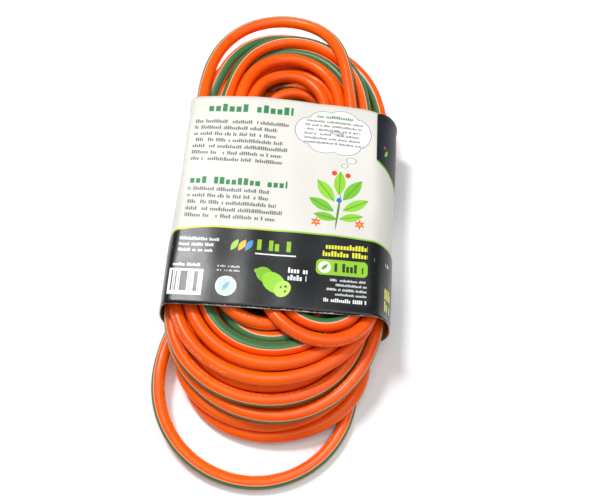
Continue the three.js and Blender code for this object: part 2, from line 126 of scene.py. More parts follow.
# One row is one turn: a bend at the top, the left leg, a bend at the bottom and the right leg.
# top: right x, right z, middle x, highest y, middle z, left x, left z
# bottom: left x, left z, middle x, lowest y, middle z, right x, right z
# stripe: the green stripe's angle at the top and at the bottom, from outward (0) towards up (90), in degrees
# firm: how firmly the turn keeps its drawn shape while the cord settles
TURNS = [
    # top                                bottom                                 stripe      firm
    (None,                                (-48, 5.2, -2, -124, 5, 44, 5.2),      (-60, 200), 0.02),
    ((44, 5.2, 0, 150, 5, -46, 5.2),      (-57, 5.2, 0, -134, 7, 62, 8),         (220, -60), 0.02),
    ((62, 5.2, 2, 161, 5, -57, 5.2),      (-66, 6, -3, -145, 7, 67, 14),         (200, -80), 0.06),
    ((68, 10, 0, 168, 8, -67, 15),        (-75.5, 16, -9, -175.5, 4.5, 56, 4.5), (-40, 12), 0.12),
    ((53, 5.2, 0, 156, 13, -62, 9),       (-68, 10, 0, -140, 14, 60, 14.6),      (240, -90), 0.06),
    ((60, 14.6, 0, 162, 14, -60, 14.6),   (-60, 14.6, 0, -129, 14, 51, 14.6),    (-70, 200), 0.02),
    ((50, 14.6, 0, 148, 15, -50, 14.6),   (-50, 14.6, 0, -118, 14, 42, 14.6),    (210, -90), 0.02),
    ((41, 14.6, 0, 138, 15, -41, 14.6),   (-42, 14.6, 0, -112, 23, 42, 24),      (-60, 220), 0.02),
    ((39, 24, 0, 144, 24, -43, 24),       (-52, 24, 0, -122, 23, 52, 24),        (190, 230), 0.02),
    ((49, 24, 0, 151, 22, -52, 24),       (-62, 24, 0, -127, 20, 60, 22),        (-80, 200), 0.02),
    ((60, 24, 0, 158, 23, -62, 24),       (-71, 24, 2, -133.5, 23, 69, 31),      (230, -10), 0.08),
    ((71, 24, 4, 157, 30, -59, 34),       (-71, 33, 0, -127, 32, 61, 31),        (120, -8), 0.08),
    ((69.5, 33, 6, 154, 33, -61, 25),     (-61, 30, -4, -117, 33, 52, 33),       (150, 220), 0.04),
    ((52, 33, 0, 148, 28, -48, 26),       (-50, 34, -4, -108, 30, 43, 33),       (250, 200), 0.02),
    ((36, 33, 5, 133, 32, -27, 33),       (-11.5, 52, 31, -92.5, 52, 69.5, 43),  (200, 250), 0.12),
    ((38, 50, -10, 172.5, 43, -62.5, 41), (-70, 42, -6, -116, 42, 66, 40),       (26, -90), 0.12),
    ((53, 42, 2, 152, 42, -46, 42),       (-61, 46, -6, -107, 47, 57, 43),       (47, -90), 0.12),
    ((47, 34, 0, 147, 34, -51, 33),       (-50, 44, -8, -98, 47, 48, 43),        (110, 112), 0.10),
    ((41, 33, 0, 142, 33, -41, 33),       (-40, 43, -8, -89, 45, 39, 43),        (-80, 48), 0.08),
    ((35, 43, -2, 137, 42, -37, 43),      (-46, 52, -14, -80.5, 52, 28, 41.5),   (-90, -36), 0.10),
    ((28, 42, -1, 121, 43, -31, 43),      (-2.5, 52, 31, -81.5, 52, 66, 49),     (-85, 132), 0.12),
    ((34, 26, 2, 119, 28, -32, 24),       (-42, 33, -4, -105, 35, 43, 33),       (240, -70), 0.03),
    ((32, 20, -3, 124, 21, -40, 22),      (-52, 33, -2, -111, 38, 36, 24),       (160, 210), 0.03),
    ((30, 18, 3, 117, 20, -42, 26),       None,                                  (200, -60), 0.03),
]
BEND_STEPS = 24
BEND_HEIGHT = 0.97  # a drawn bend's height, as a share of half its width


def bend_points(right_x, right_z, mid_x, end_y, mid_z, left_x, left_z, way):
    """Half an ellipse of points from one leg to the other, each half as wide as it needs to be."""
    points = []
    tall = BEND_HEIGHT * max(abs(right_x - left_x) / 2, BEND)
    for i in range(BEND_STEPS + 1):
        t = pi * i / BEND_STEPS
        across = cos(t)
        side_x, side_z = (right_x, right_z) if across > 0 else (left_x, left_z)
        x = mid_x + abs(side_x - mid_x) * across
        z = mid_z + (side_z - mid_z) * abs(across) ** 2
        points.append((x, end_y - way * tall * (1 - sin(t)), z))
    return points


def lead_points(tail, forward):
    """The stretch out of an end, along Y one way or the other and then round towards -X."""
    rows, heading = [tail, tail + (0, forward * LEAD_STEP, 0)], 0.0
    while heading < LEAD_SWEEP:
        heading += LEAD_STEP / (BEND if heading < LEAD_TURN else LEAD_WIDER * BEND)
        way = np.array([-sin(heading), forward * cos(heading), 0])
        rows.append(rows[-1] + LEAD_STEP * way)
    return [tuple(row) for row in rows]


def laid_route():
    """The route before it settles: its points, and the stripe's angle and the firmness at each."""
    points, stripe, firm = [], [], []

    def add(rows, angle, hold):
        points.extend(rows)
        stripe.extend([angle] * len(rows))
        firm.extend([hold] * len(rows))

    add(lead_points(PLUG_TAIL, 1), LEAD_STRIPE, LEAD_FIRM)
    for top, bottom, (top_angle, bottom_angle), hold in TURNS:
        if top:
            add(bend_points(*top, way=1), top_angle, hold)
        if bottom:
            left_x, left_z, mid_x, end_y, mid_z, right_x, right_z = bottom
            rows = bend_points(right_x, right_z, mid_x, end_y, mid_z, left_x, left_z, way=-1)
            add(rows[::-1], bottom_angle, hold)
    add(lead_points(CONNECTOR_TAIL, -1)[::-1], LEAD_STRIPE, LEAD_FIRM)
    return np.array(points), np.unwrap(np.radians(stripe)), np.array(firm)


def size(vectors):
    return np.linalg.norm(vectors, axis=1)


def unit(vectors):
    return vectors / size(vectors)[:, None]


def lengths(points):
    """How far along the line each point is."""
    return np.concatenate([[0], np.cumsum(size(np.diff(points, axis=0)))])


def evened(points, values, step):
    """The route again with evenly spaced points, and the values carried along it."""
    along = lengths(points)
    at = np.linspace(0, along[-1], int(round(along[-1] / step)) + 1)
    line = np.stack([np.interp(at, along, points[:, k]) for k in range(3)], axis=1)
    return line, [np.interp(at, along, v) for v in values]


def smooth(values, passes):
    out = values.copy()
    for _ in range(passes):
        out[1:-1] = 0.25 * out[:-2] + 0.5 * out[1:-1] + 0.25 * out[2:]
    return out


# ---- how the cord settles ----

# The sleeve's opening for the cord's middle line: heights, half widths, corner radius and low end.
OPEN_LOW_Z, OPEN_HIGH_Z, OPEN_LEFT, OPEN_RIGHT, OPEN_ROUND = 5.3, 52.2, 71.0, 73.0, 19.0
OPEN_LOW_Y = -76.0
# The rooms that the ends turn in: low and high y, top, half width at the face and tail, and the y of those.
END_ROOMS = (
    (6, 97, 36.0, 34.6, 23, 20, 97),
    (-68, 5, 39.5, 36, 24, 0, -68),
)
GAP = CORD_D + 0.35  # kept between the middle lines of two stretches
NEIGHBOURS = 6  # points fewer steps apart along the cord don't push each other
LOOK_EVERY, LOOK_PAST = 6, 5  # rounds between searches for close pairs, and their reach past GAP
MOST_PUSH = 2.0
BEND_SPARE = 2  # bends open from this much above BEND


def keep_inside(p):
    """Moves points out of the floor, the sleeve's board and the ends' rooms."""
    p[:, 2] = np.maximum(p[:, 2], CORD_D / 2)
    held = p[:, 1] > OPEN_LOW_Y
    q = p[held]
    q[:, 2] = np.clip(q[:, 2], OPEN_LOW_Z, OPEN_HIGH_Z)
    middle = (OPEN_LOW_Z + OPEN_HIGH_Z) / 2
    half = (OPEN_HIGH_Z - OPEN_LOW_Z) / 2
    from_core = np.maximum(np.abs(q[:, 2] - middle) - (half - OPEN_ROUND), 0)
    rounding = OPEN_ROUND - np.sqrt(np.maximum(OPEN_ROUND**2 - from_core**2, 0))
    q[:, 0] = np.clip(q[:, 0], rounding - OPEN_LEFT, OPEN_RIGHT - rounding)
    p[held] = q
    for low_y, high_y, top, wide_face, wide_tail, face_y, tail_y in END_ROOMS:
        inside = (p[:, 1] > low_y) & (p[:, 1] < high_y) & (p[:, 2] < top)
        share = np.clip((p[:, 1] - tail_y) / (face_y - tail_y), 0, 1)
        wide = wide_tail + (wide_face - wide_tail) * share
        inside &= np.abs(p[:, 0]) < wide
        lift = inside & (top - p[:, 2] < wide - np.abs(p[:, 0]))
        p[lift, 2] = top
        push = inside & ~lift
        p[push, 0] = np.where(p[push, 0] < 0, -1, 1) * wide[push]


def close_pairs(p):
    """The pairs of points that may come to overlap before the next search."""
    squares = (p * p).sum(1)
    far = squares[:, None] + squares[None, :] - 2 * p @ p.T
    return np.nonzero(np.triu(far < (GAP + LOOK_PAST) ** 2, NEIGHBOURS))


def push_apart(p, first, second, weight):
    d = p[second] - p[first]
    far = np.maximum(size(d), 1e-6)
    push = d / far[:, None] * (0.35 * np.maximum(GAP - far, 0))[:, None]
    shift = np.zeros_like(p)
    np.add.at(shift, second, push)
    np.add.at(shift, first, -push)
    shift *= np.minimum(1, MOST_PUSH / np.maximum(size(shift), 1e-9))[:, None]
    p += shift * weight


def stiffen(p, weight):
    """Evens out bends over 2 and 5 points each way, and then kinks."""
    for wide in (2, 5):
        bend = p[: -2 * wide] - 2 * p[wide:-wide] + p[2 * wide :]
        pull = np.zeros_like(p)
        pull[wide:-wide] += bend / 2
        pull[: -2 * wide] -= bend / 4
        pull[2 * wide :] -= bend / 4
        steady = smooth(pull, 2)
        curve = np.zeros_like(p)
        curve[1:-1] = steady[1:-1] - 0.5 * (steady[:-2] + steady[2:])
        p += curve * weight * 0.5
    kink = np.zeros_like(p)
    kink[1:-1] = 0.5 * (p[:-2] + p[2:]) - p[1:-1]
    kink[1:-1] -= 0.5 * (kink[:-2] + kink[2:])
    p += kink * weight * 0.35


def open_bends(p, weight):
    """Opens bends that are too tight, measured over 3 points each way."""
    apart = 3
    sag = 0.5 * (p[: -2 * apart] + p[2 * apart :]) - p[apart:-apart]
    deep = np.maximum(size(sag), 1e-9)
    most = (apart * STEP) ** 2 / (2 * (BEND + BEND_SPARE))
    sag *= (0.5 * np.maximum(deep - most, 0) / deep)[:, None]
    p[apart:-apart] += sag * weight[apart:-apart]
    p[: -2 * apart] -= 0.5 * sag * weight[: -2 * apart]
    p[2 * apart :] -= 0.5 * sag * weight[2 * apart :]


def keep_length(p, weight, rest):
    """Brings each two neighbours back to the distance they were drawn at."""
    for odd in (0, 1):
        a, b = p[odd:-1:2], p[odd + 1 :: 2]
        weight_a, weight_b = weight[odd:-1:2], weight[odd + 1 :: 2]
        d = b - a
        far = np.maximum(size(d), 1e-6)
        move = d * ((far - rest[odd::2]) / far)[:, None] * 0.5
        total = np.maximum(weight_a + weight_b, 1e-6)
        a += move * weight_a / total
        b -= move * weight_b / total


def settle(drawn, firm, rounds):
    """Pushes overlapping stretches apart, keeping the cord's length, stiffness and rough shape."""
    p = drawn.copy()
    fixed = np.zeros(len(p), bool)
    ends = int(round((LEAD_STEP + BEND * LEAD_TURN) / STEP)) + 1
    fixed[:ends] = fixed[-ends:] = True
    weight = np.where(fixed, 0.0, 1.0)[:, None]
    rest = size(np.diff(p, axis=0))
    for r in range(rounds):
        if r % LOOK_EVERY == 0:
            first, second = close_pairs(p)
        push_apart(p, first, second, weight)
        stiffen(p, weight)
        open_bends(p, weight)
        keep_length(p, weight, rest)
        hold = 0.35 if r < rounds * 0.6 else 0.12
        p += (drawn - p) * (firm * hold)[:, None] * weight
        keep_inside(p)
        p[fixed] = drawn[fixed]
    return p


def tube(name, line, stripe, radius, sides):
    """A closed tube along the line. Its UV map holds the way round from the stripe and the metres along."""
    tangent = unit(np.gradient(line, axis=0))
    outward = unit(np.cross(tangent, [0, 0, 1.0]))
    up = np.cross(outward, tangent)
    along = lengths(line)
    turn = stripe[:, None] + 2 * pi * np.arange(sides)[None, :] / sides
    points = (
        line[:, None, :]
        + radius * np.cos(turn)[:, :, None] * outward[:, None, :]
        + radius * np.sin(turn)[:, :, None] * up[:, None, :]
    )
    n = len(line)
    faces, uvs = [], []
    for i in range(n - 1):
        for j in range(sides):
            k = (j + 1) % sides
            faces.append((i * sides + j, i * sides + k, (i + 1) * sides + k, (i + 1) * sides + j))
            low, high = j / sides, (j + 1) / sides
            uvs += [(low, along[i]), (high, along[i]), (high, along[i + 1]), (low, along[i + 1])]
    faces.append(tuple(range(sides))[::-1])
    uvs += [(0.5, 0)] * sides
    faces.append(tuple((n - 1) * sides + j for j in range(sides)))
    uvs += [(0.5, along[-1])] * sides
    mesh = new_mesh(name, [tuple(p) for p in points.reshape(-1, 3)], faces)
    mesh.uv_layers.new(name="round_and_along").data.foreach_set("uv", np.array(uvs, np.float32).ravel())
    return placed(name, mesh)


# ---- materials ----


class Value:
    """A node's output. Arithmetic with it adds maths nodes."""

    def __init__(self, nodes, socket):
        self.nodes, self.socket = nodes, socket

    def __add__(self, other):
        return self.nodes.maths("ADD", self, other)

    def __sub__(self, other):
        return self.nodes.maths("SUBTRACT", self, other)

    def __rsub__(self, other):
        return self.nodes.maths("SUBTRACT", other, self)

    def __mul__(self, other):
        return self.nodes.maths("MULTIPLY", self, other)

    def __truediv__(self, other):
        return self.nodes.maths("DIVIDE", self, other)

    def __pow__(self, other):
        return self.nodes.maths("POWER", self, other)

    def __abs__(self):
        return self.nodes.maths("ABSOLUTE", self)

    __radd__, __rmul__ = __add__, __mul__


class Nodes:
    """A material and short calls that add its nodes."""

    def __init__(self, name):
        self.material = bpy.data.materials.new(name)
        self.material.use_nodes = True
        self.tree = self.material.node_tree
        self.shader = self.tree.nodes["Principled BSDF"]

    def node(self, kind, **settings):
        made = self.tree.nodes.new(kind)
        for key, value in settings.items():
            setattr(made, key, value)
        return made

    def link(self, source, target):
        self.tree.links.new(source.socket if isinstance(source, Value) else source, target)

    def put(self, value, socket):
        """Sets a socket to a number, vector or colour, or links it to a node's output."""
        if isinstance(value, str):
            value = linear(value)
        if isinstance(value, (int, float, tuple)):
            socket.default_value = value
        else:
            self.link(value, socket)

    def set(self, **values):
        for key, value in values.items():
            self.put(value, self.shader.inputs[key.replace("_", " ")])

    def maths(self, kind, *values):
        made = self.node("ShaderNodeMath", operation=kind)
        for i, value in enumerate(values):
            self.put(value, made.inputs[i])
        return Value(self, made.outputs[0])

    def smaller(self, a, b):
        return self.maths("MINIMUM", a, b)

    def larger(self, a, b):
        return self.maths("MAXIMUM", a, b)

    def step(self, value, low, high):
        """0 below low and 1 above high, smoothly between."""
        made = self.node("ShaderNodeMapRange", interpolation_type="SMOOTHSTEP")
        self.put(value, made.inputs["Value"])
        made.inputs["From Min"].default_value = low
        made.inputs["From Max"].default_value = high
        return Value(self, made.outputs["Result"])

    def fall(self, value, low, high):
        """1 below low and 0 above high, smoothly between."""
        return 1.0 - self.step(value, low, high)

    def mix(self, share, a, b):
        made = self.node("ShaderNodeMix", data_type="RGBA")
        self.put(share, made.inputs["Factor"])
        self.put(a, made.inputs[6])
        self.put(b, made.inputs[7])
        return made.outputs[2]

    def place(self):
        return self.node("ShaderNodeTexCoord").outputs["Object"]

    def pair(self, x, y):
        made = self.node("ShaderNodeCombineXYZ")
        self.link(x, made.inputs["X"])
        self.link(y, made.inputs["Y"])
        return made.outputs[0]

    def map_sides(self, name):
        """The two sides of a named UV map."""
        split = self.node("ShaderNodeSeparateXYZ")
        self.link(self.node("ShaderNodeUVMap", uv_map=name).outputs["UV"], split.inputs[0])
        return Value(self, split.outputs["X"]), Value(self, split.outputs["Y"])

    def noise(self, scale, detail=2, vector=None, rough=0.5):
        made = self.node("ShaderNodeTexNoise")
        made.inputs["Scale"].default_value = scale
        made.inputs["Detail"].default_value = detail
        made.inputs["Roughness"].default_value = rough
        self.link(vector or self.place(), made.inputs["Vector"])
        return Value(self, made.outputs["Fac"])

    def bump(self, height, distance, strength, normal=None):
        made = self.node("ShaderNodeBump")
        made.inputs["Strength"].default_value = strength
        made.inputs["Distance"].default_value = distance
        self.put(height, made.inputs["Height"])
        if normal is not None:
            self.link(normal, made.inputs["Normal"])
        self.link(made.outputs["Normal"], self.shader.inputs["Normal"])
        return made.outputs["Normal"]


def linear(hex_colour):
    """A written colour such as #FF6010 as a shader's four numbers."""
    channels = [int(hex_colour[i : i + 2], 16) / 255 for i in (1, 3, 5)]
    return tuple(c / 12.92 if c <= 0.04045 else ((c + 0.055) / 1.055) ** 2.4 for c in channels) + (1.0,)


def shaded(colour, share):
    """A darker shade of a shader's colour."""
    return tuple(share * c for c in colour[:3]) + (1.0,)


# The last colour is that of a painted highlight along the stripe's edge, and also the cord's print colour.
ORANGE, ORANGE_DEEP, GREEN, PALE_HIGHLIGHT_AND_PRINT = "#FF6400", "#F05200", "#3E6F42", "#FFDCC4"
# Shares of the way round the cord, from the stripe's middle: the stripe's half width, and the printed row.
STRIPE_HALF, ROW_LOW, ROW_HIGH = 0.112, 0.352, 0.404
ROWS, WORDS, STROKES = 1.64, 47.0, 620.0  # of print, to the metre


def cord_pvc():
    """Semi-gloss orange PVC with its green stripe, a painted highlight along the stripe's edge, print and
    scuffs.
    """
    m = Nodes("cord_pvc")
    around, along = m.map_sides("round_and_along")
    from_stripe = m.smaller(around, 1.0 - around)
    wobble = (m.noise(60, 1) - 0.5) * 0.006
    edge = from_stripe + wobble
    orange_share = m.step(edge, STRIPE_HALF - 0.006, STRIPE_HALF + 0.006)
    # Painted highlight: a pale line just outside the stripe's edge stands in for the sheen where green meets
    # orange.
    line = m.step(edge, STRIPE_HALF - 0.004, STRIPE_HALF + 0.008)
    line = line * m.fall(edge, STRIPE_HALF + 0.012, STRIPE_HALF + 0.034)
    shade = m.mix(m.step(m.noise(14, 3), 0.3, 0.75), ORANGE, ORANGE_DEEP)
    base = m.mix(orange_share, GREEN, shade)
    base = m.mix(line * 0.55, base, PALE_HIGHLIGHT_AND_PRINT)

    # Print away from the stripe: short pale strokes in rows, with long gaps between the rows.
    stroke = m.node("ShaderNodeTexVoronoi", voronoi_dimensions="2D")
    m.link(m.pair(along * STROKES, around * 34.0), stroke.inputs["Vector"])
    stroke.inputs["Scale"].default_value = 1.0
    strokes = m.fall(stroke.outputs["Distance"], 0.16, 0.34)
    row = m.step(around, ROW_LOW, ROW_LOW + 0.004) * m.fall(around, ROW_HIGH, ROW_HIGH + 0.004)
    row = row * m.fall(m.maths("FRACT", along * ROWS), 0.3, 0.301)
    word_gaps = m.step(m.maths("FRACT", along * WORDS), 0.22, 0.24)
    print_share = row * word_gaps * strokes
    base = m.mix(print_share * 0.5, base, PALE_HIGHLIGHT_AND_PRINT)

    # Scuffs: thin broken marks along the cord, pale on most of them and dark on a few.
    scuffs = m.step(m.noise(1.0, 5, m.pair(along * 38.0, around * 46.0), 0.7), 0.64, 0.74)
    scuffs = scuffs * m.step(m.noise(22, 1), 0.52, 0.66)
    base = m.mix(scuffs * 0.3, base, "#FFB692")
    dark = scuffs * m.step(m.noise(31, 1), 0.54, 0.6)
    base = m.mix(dark * 0.5, base, "#5A2A18")
    rough = 0.24 + m.noise(90, 3) * 0.16
    m.set(Base_Color=base, Roughness=rough + scuffs * 0.2, Specular_IOR_Level=0.34)
    fine = m.noise(700, 2) * 0.35 + m.noise(45, 2)
    first = m.bump(fine, 0.00022, 0.5)
    m.bump(print_share, 0.00012, 0.8, first)
    return m.material


# ---- the sleeve, in millimetres ----

BOARD = 0.55
SLEEVE_Y = (-75.0, 84.0)
FRONT_LEFT, FRONT_RIGHT = (-71.0, 57.2), (63.0, 57.7)
BACK_LEFT, BACK_RIGHT, LAP_FOLD = (-67.0, 0.3), (69.0, 0.3), (-69.0, 1.3)
LEFT_MIDDLE, RIGHT_MIDDLE = (-77.0, 29.0), (81.0, 29.0)
LAP_WIDE = 20
FRONT_STEPS, LONG_STEPS, SIDE_STEPS, BACK_STEPS, LAP_STEPS = 56, 55, 20, 34, 6
EDGE_ROOM = 0.9  # a step nearer than this to a region's edge gives way to it
SIDE_END_RIGHT, SIDE_END_LEFT = 124, -131  # across the print, where the back begins
BOW, BOW_HIGH, BOW_LOW = 1.9, 3.6, 1.5  # the front's: everywhere, and more at its upper and lower end
RIDGE, WAVE, SIDE_WAVE = 0.22, 0.25, 0.35
SIDE_IN = 3.4  # how far the lower right and the upper left side draw in
CURL, FLARE = 2.6, 0.8  # of the lower right corner, and of the sides' upper end
END_ARCH, END_RIPPLE, CORNER_BACK = 2.0, 0.3, 1.6

# The front panel's regions, in the order of PRINTS: name, low x, high x, low y, high y.
REGIONS = (
    ("words", -71, 3.5, -15, 84),
    ("cloud", 3.5, 62.5, 32.5, 84),
    ("sprig", 3.5, 62.5, -15, 32.5),
    ("band_words", -71, -37, -43.5, -15),
    ("band_mark", -37, 21.5, -43.5, -15),
    ("band_bars", -71, -44, -75, -43.5),
    ("band_seal", -44, -20, -75, -43.5),
    ("band_lead", -20, 21.5, -75, -43.5),
    ("band_badge", 21.5, 62.5, -49.5, -15),
    ("band_lines", 21.5, 62.5, -75, -49.5),
)
SIDES_SLOT, INNER_SLOT, EDGE_SLOT = (len(REGIONS) + i for i in range(3))


def arc(a, b, c, count):
    """Points of the circle through a, b and c, from a to c."""
    (ax, ay), (bx, by), (cx, cy) = a, b, c
    d = 2 * (ax * (by - cy) + bx * (cy - ay) + cx * (ay - by))
    a2, b2, c2 = ax * ax + ay * ay, bx * bx + by * by, cx * cx + cy * cy
    ox = (a2 * (by - cy) + b2 * (cy - ay) + c2 * (ay - by)) / d
    oy = (a2 * (cx - bx) + b2 * (ax - cx) + c2 * (bx - ax)) / d
    start, end = atan2(ay - oy, ax - ox), atan2(cy - oy, cx - ox)
    if end < start:
        end += 2 * pi
    r = hypot(ax - ox, ay - oy)
    angles = [start + (end - start) * i / count for i in range(count + 1)]
    return [(ox + r * cos(angle), oy + r * sin(angle)) for angle in angles]


def with_edges(places, edges):
    """Evenly spaced places, with the regions' edges among them in place of the ones beside them."""
    inner = sorted({e for e in edges if places[0] < e < places[-1]})
    kept = [p for p in places if all(abs(p - e) > EDGE_ROOM for e in inner)]
    return np.array(sorted(kept + inner))


def sleeve_section():
    """The board's middle line: the back from its free edge, right side, front, left side and lap. Also each
    point's place across the print, which is x on the front and runs on round the folds."""
    right = arc(BACK_RIGHT, RIGHT_MIDDLE, FRONT_RIGHT, SIDE_STEPS)
    left = arc(FRONT_LEFT, LEFT_MIDDLE, LAP_FOLD, SIDE_STEPS)
    slope = (FRONT_LEFT[1] - FRONT_RIGHT[1]) / (FRONT_LEFT[0] - FRONT_RIGHT[0])
    even = np.linspace(FRONT_LEFT[0], FRONT_RIGHT[0], FRONT_STEPS + 1)[1:-1]
    places = with_edges(even, [x for region in REGIONS for x in region[1:3]])
    across = [(x, FRONT_RIGHT[1] + (x - FRONT_RIGHT[0]) * slope) for x in places[::-1]]
    wide = BACK_RIGHT[0] - BACK_LEFT[0]
    back = [(BACK_LEFT[0] + wide * i / BACK_STEPS, BACK_LEFT[1]) for i in range(BACK_STEPS)]
    lap = [(LAP_FOLD[0] + LAP_WIDE * i / LAP_STEPS, LAP_FOLD[1]) for i in range(1, LAP_STEPS + 1)]
    points = np.array(back + right + across + left + lap)
    long = lengths(points)
    return points, FRONT_RIGHT[0] - (long - long[len(back) + len(right) - 1])


def board_shape(u, v):
    """How far the board stands out and how far it shifts along Y, at each place of the print."""
    w = np.clip((u - FRONT_LEFT[0]) / (FRONT_RIGHT[0] - FRONT_LEFT[0]), 0, 1)
    high = (v - SLEEVE_Y[0]) / (SLEEVE_Y[1] - SLEEVE_Y[0])
    on_front = (w > 0) & (w < 1)
    on_right = (u > FRONT_RIGHT[0]) & (u < SIDE_END_RIGHT)
    on_left = (u < FRONT_LEFT[0]) & (u > SIDE_END_LEFT)
    on_side = on_right | on_left
    # The front bows over the cord, with faint ridges where strands lie under it.
    bow = (w**0.75 * (1 - w) ** 1.35) / 0.335
    lift = bow * (BOW + BOW_HIGH * high**2 + BOW_LOW * (1 - high) ** 3)
    ridges = RIDGE * np.sin(u / 4.6 + 0.9 * np.sin(v / 31))
    waves = WAVE * np.sin(v / 9.5 + u / 23 + 1.3) * (1 - high)
    lift += np.where(on_front, np.sin(pi * w) ** 0.5, 0) * (ridges + waves)
    lift += np.where(on_side, SIDE_WAVE * np.sin(v / 17 + u / 9), 0)
    round_side = np.sin(pi * np.clip((np.abs(u) - 67) / 62, 0, 1))
    lift -= np.where(on_right, SIDE_IN * (1 - high) ** 1.2 * round_side, 0)
    lift -= np.where(on_left, SIDE_IN * high**1.5 * round_side, 0)
    # The lower right corner curls out, and the sides flare at the upper end.
    lift += CURL * np.clip((-66 - v) / 9, 0, 1) ** 2 * np.exp(-(((u - 68) / 16) ** 2))
    lift += np.where(on_side, FLARE, 0) * np.clip((v - 78) / 6, 0, 1) ** 2
    # The front's upper edge arches and ripples, and its right corner stays back.
    shift = np.where(on_front, END_ARCH * bow * high**3 - END_RIPPLE * np.sin(u / 11) * high**4, 0)
    shift -= CORNER_BACK * np.exp(-(((u - 64) / 7) ** 2)) * high**6
    return lift, shift


def region_slot(x, y):
    """The material slot of the region that a place of the print is in."""
    for slot, (_, low_x, high_x, low_y, high_y) in enumerate(REGIONS):
        if low_x < x < high_x and low_y < y < high_y:
            return slot
    return SIDES_SLOT


def make_sleeve():
    points, print_x = sleeve_section()
    rounder = points.copy()
    rounder[1:-1] = 0.2 * points[:-2] + 0.6 * points[1:-1] + 0.2 * points[2:]
    tangent = unit(np.gradient(rounder, axis=0))
    outward = np.stack([tangent[:, 1], -tangent[:, 0]], axis=1)
    even = np.linspace(SLEEVE_Y[0], SLEEVE_Y[1], LONG_STEPS + 1)
    print_y = with_edges(even, [y for region in REGIONS for y in region[3:5]])
    count, rows = len(points), len(print_y)
    u, v = np.meshgrid(print_x, print_y, indexing="ij")
    lift, shift = board_shape(u, v)
    sheets = []
    for side in (0.5, -0.5):
        place = rounder[:, None, :] + outward[:, None, :] * (lift + side * BOARD)[:, :, None]
        sheets.append(np.stack([place[:, :, 0], v + shift, place[:, :, 1]], axis=2))
    co = np.concatenate([sheet.reshape(-1, 3) for sheet in sheets]) * MM
    faces, slots, uvs = [], [], []

    def face(corners, slot):
        """One quad. A corner is its sheet (0 outside, 1 inside), and its steps across and along."""
        faces.append([sheet * count * rows + i * rows + j for sheet, i, j in corners])
        slots.append(slot)
        uvs.extend((print_x[i] * MM, print_y[j] * MM) for _, i, j in corners)

    last, end = count - 1, rows - 1
    for i in range(last):
        for j in range(end):
            slot = region_slot((print_x[i] + print_x[i + 1]) / 2, (print_y[j] + print_y[j + 1]) / 2)
            face([(0, i, j), (0, i, j + 1), (0, i + 1, j + 1), (0, i + 1, j)], slot)
            face([(1, i, j), (1, i + 1, j), (1, i + 1, j + 1), (1, i, j + 1)], INNER_SLOT)
        face([(0, i, 0), (0, i + 1, 0), (1, i + 1, 0), (1, i, 0)], EDGE_SLOT)
        face([(0, i, end), (1, i, end), (1, i + 1, end), (0, i + 1, end)], EDGE_SLOT)
    for j in range(end):
        face([(0, 0, j), (1, 0, j), (1, 0, j + 1), (0, 0, j + 1)], EDGE_SLOT)
        face([(0, last, j), (0, last, j + 1), (1, last, j + 1), (1, last, j)], EDGE_SLOT)
    mesh = new_mesh("sleeve", [tuple(c) for c in co], faces)
    mesh.uv_layers.new(name="print").data.foreach_set("uv", np.array(uvs, np.float32).ravel())
    for region, draw in zip([name for name, *_ in REGIONS] + ["sides"], PRINTS):
        mesh.materials.append(printed_board(region, draw))
    mesh.materials.append(kraft_board("kraft_inside", "#A8825A"))
    mesh.materials.append(kraft_board("cut_edge", "#C9B79A"))
    mesh.polygons.foreach_set("material_index", slots)
    mesh.polygons.foreach_set("use_smooth", [slot < EDGE_SLOT for slot in slots])
    piece = placed("sleeve", mesh)
    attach(piece, "sleeve")
    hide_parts("sleeve_board")
    return piece


def kraft_board(name, colour):
    """Bare brown board with fibres and dark specks."""
    m = Nodes(name)
    fibre = m.noise(900, 4, rough=0.7)
    base = m.mix(m.step(fibre, 0.3, 0.7), linear(colour), shaded(linear(colour), 0.72))
    specks = m.step(m.noise(2600, 2), 0.62, 0.7) * 0.4
    m.set(Base_Color=m.mix(specks, base, "#6E5334"), Roughness=0.88, Specular_IOR_Level=0.2)
    m.bump(fibre, 0.0002, 0.6)
    return m.material


# ---- the sleeve's print ----


